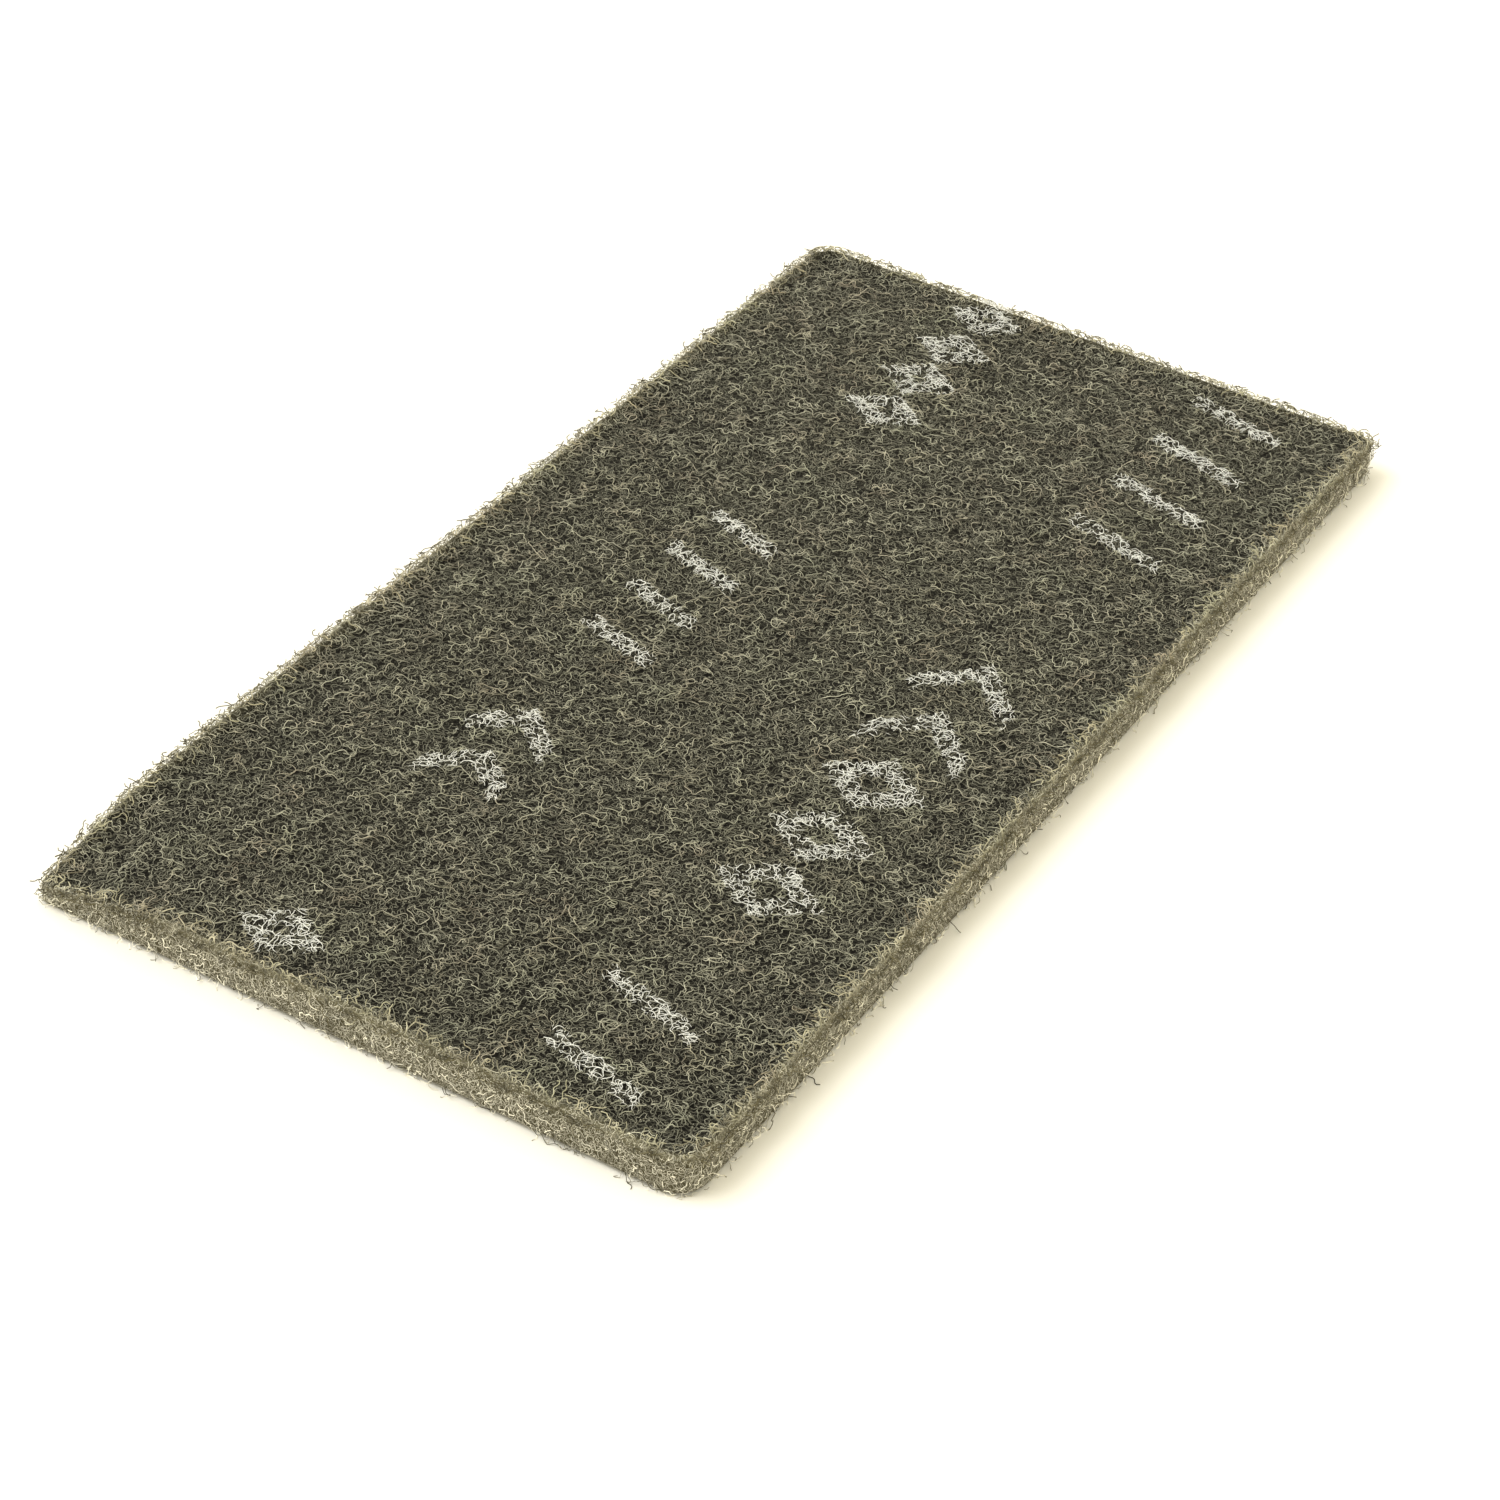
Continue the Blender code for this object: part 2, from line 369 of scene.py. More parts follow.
def depth_below_guide(put, given, whims, step, run, travel):
    """How deep a fibre lies: it rises and falls among its neighbours, and both its ends dive."""
    wave = put(MATH, run, given["Ripple"], operation="DIVIDE")
    wave = put(MATH, wave, math.tau, whims["phase"], operation="MULTIPLY_ADD")
    wave = put(MATH, put(MATH, wave, operation="SINE"), given["Lift"], operation="MULTIPLY")
    middle = put(MATH, given["Steps"], 0.5, operation="MULTIPLY")
    end = put(MATH, put(MATH, step, middle, operation="DIVIDE"), 1.0, operation="SUBTRACT")
    end = put(MATH, end, DIVE_POWER, operation="POWER")
    end = put(MATH, end, given["Dive"], operation="MULTIPLY")
    depth = put(RANGE, sockets={"Value": whims["layer"], "To Min": given["Depth from"],
                                "To Max": given["Depth to"]})
    depth = put(MATH, put(MATH, depth, end, operation="ADD"), wave, operation="SUBTRACT")
    turned = put(TURN, travel, put(READ, "upright", data_type="QUATERNION"))
    above = put(SEPARATE, put(VECTOR_MATH, put(PLACE), turned, operation="ADD"), out=None).outputs
    distance = distance_out_nodes(put, above[0], above[1])
    share = put(RANGE, distance, SHALLOW_FROM, SHALLOW_TO, 1.0, given["Rim depth"])
    return put(MATH, depth, share, operation="MULTIPLY")


def place_in_web(put, given, travel, depth):
    """Where a fibre lies once the upper side has sunk with the solid's tufts and its rim."""
    lowered = put(COMBINE, 0.0, 0.0, put(MATH, depth, -1.0, operation="MULTIPLY"))
    offset = put(VECTOR_MATH, travel, lowered, operation="ADD")
    offset = put(TURN, offset, put(READ, "upright", data_type="QUATERNION"))
    place = put(SEPARATE, put(VECTOR_MATH, put(PLACE), offset, operation="ADD"), out=None).outputs
    solid = put("GeometryNodeObjectInfo", given["Frame solid"], out="Geometry")
    over = put(COMBINE, place[0], place[1], 2 * PAD_THICKNESS)
    hit = put("GeometryNodeRaycast", out=None,
              sockets={"Target Geometry": solid, "Ray Direction": (0, 0, -1),
                       "Source Position": over}).outputs
    kept = height_share_nodes(put, place[0], place[1])
    surface = put(SEPARATE, hit["Hit Position"], out="Z")
    surface = put(MATH, surface, kept, operation="DIVIDE")
    surface = put("GeometryNodeSwitch", hit["Is Hit"], PAD_THICKNESS - TOP_ROUND, surface,
                  input_type="FLOAT")
    share = put(RANGE, sockets={"Value": place[2], "From Min": PAD_THICKNESS / 2,
                                "From Max": PAD_THICKNESS})
    sunk = put(MATH, PAD_THICKNESS, surface, operation="SUBTRACT")
    sunk = put(MATH, sunk, given["Sink"], operation="MINIMUM")
    sunk = put(MATH, sunk, share, operation="MULTIPLY")
    height = put(MATH, place[2], sunk, operation="SUBTRACT")
    highest = put(MATH, surface, given["Stand"], operation="ADD")
    height = put(MATH, height, highest, operation="MINIMUM")
    height = put(MATH, height, kept, operation="MULTIPLY")
    height = put(MATH, height, given["Radius"], operation="MAXIMUM")
    return put(COMBINE, place[0], place[1], height)


def mark_sides(put, given, points, spot, distance):
    """Note where fibres are lighter, at the rim and the cut sides, and where they stand free."""
    level = put(MATH, spot[2], height_share_nodes(put, spot[0], spot[1]), operation="DIVIDE")
    at_side = put(RANGE, level, PAD_THICKNESS - CUT_FROM, PAD_THICKNESS - CUT_TO, 0.0, 1.0,
                  interpolation_type="SMOOTHSTEP")
    at_side = put(MATH, at_side, given["Side tint"], operation="MULTIPLY")
    inner = put(MATH, given["Rim"], -1.0, operation="MULTIPLY")
    rim = put(RANGE, distance, inner, 0.0, 0.0, given["Rim tint"], interpolation_type="SMOOTHSTEP")
    rim = put(MATH, rim, at_side, operation="MAXIMUM")
    points = put(STORE, points, None, "rim", rim, data_type="FLOAT")
    free = put(RANGE, distance, FREE_FROM, FREE_TO)
    over = put(RANGE, level, PAD_THICKNESS - OVER_RIM_LOW, PAD_THICKNESS - OVER_RIM_HIGH, 0.0, 1.0)
    past = put(RANGE, distance, OVER_RIM_FROM, OVER_RIM_TO)
    free = put(MATH, free, put(MATH, over, past, operation="MULTIPLY"), operation="MAXIMUM")
    return put(STORE, points, None, "free", free, data_type="FLOAT")


def die_cut(put, given, whims, points, fibre, distance):
    """Cut the fibres off outside the outline, few of them far out, and number their pieces."""
    reach = put(MATH, whims["looseness"], 2.0, operation="POWER")
    reach = put(MATH, reach, given["Fray"], operation="MULTIPLY")
    outside = put(MATH, distance, reach, operation="GREATER_THAN")
    cuts = put(SUM, outside, fibre, data_type="FLOAT", domain="POINT")
    number = put(MATH, fibre, MOST_PIECES, cuts, operation="MULTIPLY_ADD")
    points = put(STORE, points, None, "piece", number, data_type="INT")
    points = put("GeometryNodeDeleteGeometry", points, outside, domain="POINT")
    piece = put(READ, "piece", data_type="INT")
    count = put(SUM, 1.0, piece, out="Total", data_type="FLOAT", domain="POINT")
    short = put(MATH, count, TOO_FEW_POINTS, operation="LESS_THAN")
    return put("GeometryNodeDeleteGeometry", points, short, domain="POINT")


def take_ink(put, given, points, spot):
    """Note where the high fibres cross a printed field, with a ragged edge."""
    flat = put(COMBINE, spot[0], spot[1])
    ragged = put(NOISE, out="Color", sockets={"Vector": flat, "Scale": 1 / RAGGED, "Detail": 1.0})
    ragged = put(VECTOR_MATH, ragged, (0.5, 0.5, 0.5), operation="SUBTRACT")
    ragged = put(VECTOR_MATH, ragged, (RAGGED, RAGGED, 0), operation="MULTIPLY")
    fields = put("GeometryNodeObjectInfo", given["Print guide"], out="Geometry")
    nearest = put("GeometryNodeProximity", fields, out="Distance", target_element="FACES",
                  sockets={"Sample Position": put(VECTOR_MATH, flat, ragged, operation="ADD")})
    near = put(MATH, nearest, INK_REACH, operation="LESS_THAN")
    depth = put(READ, "depth", data_type="FLOAT")
    high = put(MATH, depth, given["Ink depth"], operation="LESS_THAN")
    ink = put(MATH, near, high, operation="MULTIPLY")
    return put(STORE, points, None, "ink", ink, data_type="FLOAT")


def spin_strands(put, given, whims, points):
    """Turn the points of each piece of fibre into a closed three-sided strand."""
    piece = put(READ, "piece", data_type="INT")
    step = put(READ, "step", data_type="INT")
    strands = put("GeometryNodePointsToCurves", points, piece, step)
    thick = put(MATH, put(READ, "ink", data_type="FLOAT"), INK_BUILD, 1.0,
                operation="MULTIPLY_ADD")
    thick = put(MATH, thick, whims["girth"], operation="MULTIPLY")
    strands = put("GeometryNodeSetCurveRadius", strands, sockets={"Radius": thick})
    ring = put("GeometryNodeCurvePrimitiveCircle", 3, sockets={"Radius": given["Radius"]},
               mode="RADIUS")
    mesh = put("GeometryNodeCurveToMesh", strands, ring, sockets={"Fill Caps": True})
    mesh = put("GeometryNodeSetShadeSmooth", mesh)
    share = 1 / (PAD_LENGTH * MAP_MARGIN)
    flat_map = put(VECTOR_MATH, put(PLACE), (share, share, 0), (0.5, 0.5, 0),
                   operation="MULTIPLY_ADD")
    return put(STORE, mesh, None, "OFBake", flat_map, data_type="FLOAT2", domain="CORNER")


def fibre_tree():
    """The geometry nodes that grow crimped fibres from a guide surface and die-cut them."""
    tree = bpy.data.node_groups.new("crimped_fibres", "GeometryNodeTree")
    for name, (kind, default) in FIBRE_INPUTS.items():
        socket = tree.interface.new_socket(name, in_out="INPUT", socket_type=kind)
        if default is not None:
            socket.default_value = default
    tree.interface.new_socket("Fibres", in_out="OUTPUT", socket_type="NodeSocketGeometry")
    put = partial(add, tree)
    given = put("NodeGroupInput", out=None).outputs

    points = scatter(put, given)
    fibre = put(READ, "fibre", data_type="INT")
    step = put(READ, "step", data_type="INT")
    whims = draw_whims(put, given, fibre)
    run = put(MATH, step, given["Step length"], operation="MULTIPLY")
    travel = walk(put, given, whims, fibre, run)
    depth = depth_below_guide(put, given, whims, step, run, travel)
    points = put(STORE, points, None, "depth", depth, data_type="FLOAT")
    points = put("GeometryNodeSetPosition", points,
                 sockets={"Position": place_in_web(put, given, travel, depth)})

    spot = put(SEPARATE, put(PLACE), out=None).outputs
    distance = distance_out_nodes(put, spot[0], spot[1])
    points = mark_sides(put, given, points, spot, distance)
    points = die_cut(put, given, whims, points, fibre, distance)
    points = take_ink(put, given, points, spot)
    points = put(STORE, points, None, "tone", whims["tone"], data_type="FLOAT")

    mesh = spin_strands(put, given, whims, points)
    mesh = put("GeometryNodeRealizeInstances", mesh)
    mesh = put("GeometryNodeSetMaterial", mesh, None, given["Material"])
    put("NodeGroupOutput", mesh, out=None)
    return tree


def new_object(name, bm):
    """An object at the origin from a bmesh, which is freed."""
    mesh = bpy.data.meshes.new(name)
    bm.to_mesh(mesh)
    bm.free()
    made = bpy.data.objects.new(name, mesh)
    bpy.context.scene.collection.objects.link(made)
    return made


def grow(name, guide, material, sizes):
    """Grow fibres from a guide surface, and make them one plain mesh."""
    tree = bpy.data.node_groups.get("crimped_fibres") or fibre_tree()
    keys = {item.name: item.identifier for item in tree.interface.items_tree
            if item.in_out == "INPUT"}
    fields = print_guide()
    inputs = {"Frame solid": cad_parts[NODE], "Print guide": fields, "Material": material}
    modifier = guide.modifiers.new("fibres", "NODES")
    modifier.node_group = tree
    for key, value in (sizes | inputs).items():
        modifier[keys[key]] = value
    guide.update_tag()
    depsgraph = bpy.context.evaluated_depsgraph_get()
    mesh = bpy.data.meshes.new_from_object(guide.evaluated_get(depsgraph), depsgraph=depsgraph)
    if not mesh.polygons:
        raise RuntimeError(f"{name} grew no fibres")
    for used_up in ("fibre", "step", "upright", "piece"):
        if used_up in mesh.attributes:
            mesh.attributes.remove(mesh.attributes[used_up])
    bpy.data.objects.remove(fields)
    bpy.data.objects.remove(guide)
    mesh.name = name
    fibres = bpy.data.objects.new(name, mesh)
    bpy.context.scene.collection.objects.link(fibres)
    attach(fibres, BODY)


# Printed fields

def slanted_bar(x, y, width, height):
    """The corners of a leaning bar, one stroke wide whatever the room for it."""
    lean = LEAN / 2
    half = STROKE / 2
    up = height / 2
    return [[(x - lean - half, y - up), (x - lean + half, y - up),
             (x + lean + half, y + up), (x + lean - half, y + up)]]


def chevron(x, y, width, height):
    """The corners of an arrowhead's two leaning arms, each a stroke wide."""
    tail = x - width / 2
    tip = x + width / 2
    rise = height / 2
    slope = STROKE / rise
    reach = math.sqrt(width ** 2 + rise ** 2 - STROKE ** 2)
    across = slope * (reach - slope * width) / (1 - slope ** 2)
    return [[(tail, y + up), (tail + across, y + up), (tip, y), (tip - across, y)]
            for up in (-rise, rise)]


def open_diamond(x, y, width, height):
    """The corners of the four mitred sides of a diamond with an open middle."""
    a = width / 2
    b = height / 2
    inner = 1 - STROKE * math.hypot(a, b) / (a * b)
    tips = [(a, 0), (0, b), (-a, 0), (0, -b), (a, 0)]
    rings = [[(x + share * dx, y + share * dy) for dx, dy in tips] for share in (1, inner)]
    return [[rings[0][i], rings[0][i + 1], rings[1][i + 1], rings[1][i]] for i in range(4)]


def row_of_marks(y, height, pitch, groups):
    """The corners of every field in a row of groups, each a gap, a shape and a count."""
    fields = []
    x = ROW_START - PAD_LENGTH / 2
    for gap, shape, count in groups:
        x += gap
        for _ in range(count):
            fields += shape(x + pitch / 2, y, pitch - MARK_GAP, height)
            x += pitch
    return fields


def print_guide(height=0.0):
    """The printed fields as flat faces, which the fibres look up or are grown from."""
    upper = [(0, open_diamond, 1), (BLOCK_GAP, chevron, 2), (WORD_GAP, slanted_bar, 4),
             (BLOCK_GAP, open_diamond, 4)]
    lower = [(0, slanted_bar, 2), (WORD_GAP, open_diamond, 3), (0, chevron, 2),
             (BLOCK_GAP, slanted_bar, 4)]
    fields = row_of_marks(PAD_WIDTH / 2 - UPPER_ROW_FROM_EDGE, UPPER_MARK_HEIGHT,
                          UPPER_MARK_PITCH, upper)
    fields += row_of_marks(LOWER_ROW_FROM_EDGE - PAD_WIDTH / 2, LOWER_MARK_HEIGHT,
                           LOWER_MARK_PITCH, lower)
    bm = bmesh.new()
    for corners in fields:
        field = bm.faces.new([bm.verts.new((x, y, height)) for x, y in corners])
        field.normal_update()
        if field.normal.z < 0:
            field.normal_flip()
    guide = new_object("print_guide", bm)
    guide.hide_render = True
    return guide


# Surfaces that follow the die's outline

# The rim that the side's fibres follow, how far below the top its fuzz begins, and how finely
# its arcs are drawn
GUIDE_ROUND = 1.0 * MM
GUIDE_SEGMENTS = 3
GUIDE_FOOT = 0.2 * MM
FUZZ_BAND = 1.1 * MM
CORNER_SEGMENTS = 6
LEAST_CORNER_RADIUS = 0.3 * MM

# The level guides reach past the pad, so that the die cuts through whole fibres
GUIDE_MARGIN = 3.5 * MM

# The deep web keeps inside the solid and off the floor, with a chamfered foot, and its face
# reaches its full depth a shelf's width from the rim
WEB_INSET = 0.2 * MM
WEB_FOOT = 0.3 * MM
WEB_CHAMFER = 0.6 * MM
WEB_SEGMENTS = 5
WEB_SHELF = 2.4 * MM
WEB_FACET = 2.5 * MM
CUT_TOLERANCE = 0.01 * MM


def outline(inset):
    """Points round the pad's outline, counter-clockwise from above."""
    points = []
    for quarter in range(4):
        radius = (CORNER_RADIUS, TIGHT_CORNER_RADIUS)[quarter % 2]
        radius = max(radius - inset, LEAST_CORNER_RADIUS)
        cx = (PAD_LENGTH / 2 - inset - radius) * (1 if quarter in (0, 3) else -1)
        cy = (PAD_WIDTH / 2 - inset - radius) * (1 if quarter in (0, 1) else -1)
        for i in range(CORNER_SEGMENTS + 1):
            angle = (quarter + i / CORNER_SEGMENTS) * math.pi / 2
            points.append((cx + radius * math.cos(angle), cy + radius * math.sin(angle)))
    return points


def band(bm, levels):
    """A band of faces through outlines, each at a height and an inset, and its rings of points."""
    rings = [[bm.verts.new((x, y, z)) for x, y in outline(inset)] for z, inset in levels]
    count = len(rings[0])
    for low, high in zip(rings, rings[1:]):
        for i in range(count):
            bm.faces.new((low[i], low[(i + 1) % count], high[(i + 1) % count], high[i]))
    return rings


def side_guide(foot=GUIDE_FOOT):
    """The cut sides above a foot and the soft upper rim, facing out."""
    levels = [(foot, 0.0)]
    for i in range(GUIDE_SEGMENTS + 1):
        angle = i / GUIDE_SEGMENTS * math.pi / 2
        levels.append((PAD_THICKNESS - GUIDE_ROUND * (1 - math.sin(angle)),
                       GUIDE_ROUND * (1 - math.cos(angle))))
    bm = bmesh.new()
    band(bm, levels)
    return new_object("side_guide", bm)


def level_guide(height, up):
    """A level face a little larger than the pad, facing up or down."""
    bm = bmesh.new()
    bmesh.ops.create_grid(bm, x_segments=1, y_segments=1, size=0.5)
    length, width = (side + 2 * GUIDE_MARGIN for side in (PAD_LENGTH, PAD_WIDTH))
    bmesh.ops.scale(bm, verts=bm.verts, vec=(length, width, 1))
    bmesh.ops.translate(bm, verts=bm.verts, vec=(0, 0, height))
    if not up:
        bmesh.ops.reverse_faces(bm, faces=bm.faces)
    return new_object("level_guide", bm)


def web_levels(top):
    """The heights and insets of the deep web's outlines, from its foot over the rim to its face."""
    middle = PAD_THICKNESS - TOP_ROUND
    radius = TOP_ROUND - WEB_INSET
    levels = [(WEB_FOOT, WEB_INSET + WEB_CHAMFER), (WEB_FOOT + WEB_CHAMFER, WEB_INSET)]
    for i in range(WEB_SEGMENTS + 1):
        angle = i / WEB_SEGMENTS * math.pi / 2
        levels.append((middle + radius * math.sin(angle), TOP_ROUND - radius * math.cos(angle)))
    return levels + [(top, TOP_ROUND + WEB_SHELF)]


def cut_into_facets(bm):
    """Cut a mesh into facets small enough to follow the solid's tufts."""
    for axis, span in ((Vector((1, 0, 0)), PAD_LENGTH), (Vector((0, 1, 0)), PAD_WIDTH)):
        steps = int(span / 2 / WEB_FACET)
        for step in range(-steps, steps + 1):
            bmesh.ops.bisect_plane(bm, geom=[*bm.verts, *bm.edges, *bm.faces], dist=CUT_TOLERANCE,
                                   plane_co=axis * step * WEB_FACET, plane_no=axis)


def follow_solid(bm, top):
    """Sink the deep web with the solid's tufts and pinched corner, and note how near the rim is."""
    rim = bm.verts.layers.float.new("rim")
    reach = [side / 2 - TOP_ROUND - WEB_INSET for side in (PAD_LENGTH, PAD_WIDTH)]
    for vert in bm.verts:
        above = [min(max(vert.co[i], -reach[i]), reach[i]) for i in range(2)]
        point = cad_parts[NODE].ray_cast((*above, 2 * PAD_THICKNESS), (0, 0, -1))[1]
        sunk = PAD_THICKNESS - point.z / height_share(*above)
        share = min(max((vert.co.z - PAD_THICKNESS / 2) / (top - PAD_THICKNESS / 2), 0), 1)
        past = (distance_out(vert.co.x, vert.co.y) + TOP_ROUND + WEB_INSET) / TOP_ROUND
        vert[rim] = min(max(past, 0.0), 1.0)
        vert.co.z -= share * min(max(-past, 0.0), 1.0) * sunk
        vert.co.z *= height_share(vert.co.x, vert.co.y)


# Materials

NYLON_IOR = 1.53

# The coat's blotches, stretched down the sides, and how strongly they tint
BLOTCH = 9.0 * MM
BLOTCH_STRETCH = (1, 1, 0.2)
BLOTCH_FROM = 0.42
BLOTCH_TO = 0.72
BLOTCH_TINT = 0.5

# The grit is drawn as coarse as it needs to show. The real grains are about a third as wide.
GRIT = 0.09 * MM
GRIT_HEIGHT = 0.03 * MM
GRIT_STRENGTH = 0.35

# Painted shade: the face's fibres begin to darken toward the shade colour at this depth
SHADE_FROM = 0.2 * MM

# The deep fibres are level lines of two noises with three channels each. A noise's pitch is the
# size of a real fibre's loops, and its slope is measured over a small share of that.
CURL_PITCHES = (1.35 * MM, 1.2 * MM)
CURL_SHIFT = Vector((0.031, 0.017, 0.023))
SLOPE_STEP = 0.05
LEAST_SLOPE = 1.5e-4
DIAGONAL = (0.577, 0.577, 0.577)

# Half the width of a deep fibre's bright core and of its edge, and of the shadow beside it
CURL_CORE = 0.03 * MM
CURL_EDGE = 0.07 * MM
CURL_SHADOW_FROM = 0.06 * MM
CURL_SHADOW_TO = 0.28 * MM
CURL_SHADOW = 0.9

# How light the lowest of the deep fibres are, and how much lighter the topmost, on the face and at the
# sides: the lower layers are dimmed as painted shade
FACE_LOWEST = 0.04
FACE_GAIN = 0.76
FACE_GAIN_POWER = 3
SIDE_LOWEST = 0.2
SIDE_GAIN = 0.8

# They are only this light where the next channel is low, and lighten between these levels of it
PATCH_LIGHT = 0.45
PATCH_FROM = 0.38
PATCH_TO = 0.6

# Depths below the top between which the deep web's rim takes the fuzz's colour, and how much
BROW_FROM = 1.4 * MM
BROW_TO = 0.6 * MM
BROW_TINT = 0.35


def start_material(name, roughness, ior, specular):
    """A new node material with its gloss, and its principled shader."""
    material = bpy.data.materials.new(name)
    material.use_nodes = True
    shader = material.node_tree.nodes["Principled BSDF"]
    shader.inputs["Roughness"].default_value = roughness
    shader.inputs["IOR"].default_value = ior
    shader.inputs["Specular IOR Level"].default_value = specular
    return material, shader


def coated_fibre(name, colour, darkening, tones):
    """Nylon fibre with a coat of resin and fine mineral, from its darkest to its lightest tone."""
    # To the eye it is dry and matt, a little lighter or darker from strand to strand, with warm and
    # cool blotches across the face, pale cut sides that are partly painted light, deeper fibres
    # darkened with painted shade, and white where it is printed
    colours = bpy.context.scene.hand_pad_finish
    shell = bpy.context.scene.hand_pad_web.shell
    material, shader = start_material(name, roughness=0.62, ior=NYLON_IOR, specular=0.3)
    put = partial(add, material.node_tree)
    marks = {mark: put("ShaderNodeAttribute", out="Fac", attribute_name=mark)
             for mark in ("tone", "rim", "free", "depth", "ink")}
    spot = put("ShaderNodeTexCoord", out="Object")
    flat = put(VECTOR_MATH, spot, BLOTCH_STRETCH, operation="MULTIPLY")
    blotch = put(NOISE, out="Color", sockets={"Vector": flat, "Scale": 1 / BLOTCH, "Detail": 2.0})
    blotch = put("ShaderNodeSeparateColor", blotch, out=None).outputs
    warm, cool = (put(RANGE, blotch[i], BLOTCH_FROM, BLOTCH_TO, 0.0, BLOTCH_TINT) for i in (0, 1))
    coat = put(MIX, warm, sockets={6: colour, 7: colours.warm}, out=2, data_type="RGBA")
    coat = put(MIX, cool, sockets={6: coat, 7: colours.cool}, out=2, data_type="RGBA")
    # Partly painted light: the rim band and the cut sides take the pale cut colour, for the cut nylon
    # and for the light that shines through it
    coat = put(MIX, marks["rim"], sockets={6: coat, 7: colours.cut}, out=2, data_type="RGBA")
    coat = put(MIX, marks["free"], sockets={6: coat, 7: colours.stray}, out=2, data_type="RGBA")
    light = put(RANGE, marks["tone"], 0.0, 1.0, *tones)
    coat = put("ShaderNodeHueSaturation", sockets={"Value": light, "Color": coat})
    # Painted shade: the deeper a fibre lies below the top, the more its colour is mixed toward the
    # shade colour
    deep = put(RANGE, marks["depth"], SHADE_FROM, shell, 0.0, darkening)
    coat = put(MIX, deep, sockets={6: coat, 7: colours.shade}, out=2, data_type="RGBA")
    coat = put(MIX, marks["ink"], sockets={6: coat, 7: colours.ink}, out=2, data_type="RGBA")
    grit = put(NOISE, sockets={"Vector": spot, "Scale": 1 / GRIT, "Detail": 0.0})
    bump = put("ShaderNodeBump", sockets={"Strength": GRIT_STRENGTH, "Distance": GRIT_HEIGHT,
                                          "Height": grit})
    material.node_tree.links.new(coat, shader.inputs["Base Color"])
    material.node_tree.links.new(bump, shader.inputs["Normal"])
    return material


def lines_of_noise(put, spot, pitch):
    """How far a point lies from the level lines of three noises, each a tangle of long curls."""
    normal = put("ShaderNodeNewGeometry", out="Normal")
    across = put(VECTOR_MATH, normal, DIAGONAL, operation="CROSS_PRODUCT")
    along = put(VECTOR_MATH, normal, across, operation="CROSS_PRODUCT")
    place = put(VECTOR_MATH, spot, sockets={"Scale": 1 / pitch}, operation="SCALE")
    here = put(NOISE, out="Color", sockets={"Vector": place, "Scale": 1.0, "Detail": 1.0})
    slope = (0, 0, 0)
    for way in (across, along):
        aside = put(VECTOR_MATH, way, sockets={"Scale": SLOPE_STEP}, operation="SCALE")
        aside = put(VECTOR_MATH, place, aside, operation="ADD")
        beside = put(NOISE, out="Color", sockets={"Vector": aside, "Scale": 1.0, "Detail": 1.0})
        rise = put(VECTOR_MATH, beside, here, operation="SUBTRACT")
        slope = put(VECTOR_MATH, rise, rise, slope, operation="MULTIPLY_ADD")
    slope = put(VECTOR_MATH, slope, [LEAST_SLOPE] * 3, operation="MAXIMUM")
    off = put(VECTOR_MATH, here, (0.5, 0.5, 0.5), operation="SUBTRACT")
    off = put(VECTOR_MATH, off, off, operation="MULTIPLY")
    ratios = put(SEPARATE, put(VECTOR_MATH, off, slope, operation="DIVIDE"), out=None).outputs
    levels = put(SEPARATE, here, out=None).outputs
    lines = []
    for channel in range(3):
        away = put(MATH, ratios[channel], operation="SQRT")
        away = put(MATH, away, SLOPE_STEP * pitch, operation="MULTIPLY")
        lines.append((away, levels[(channel + 1) % 3]))
    return lines


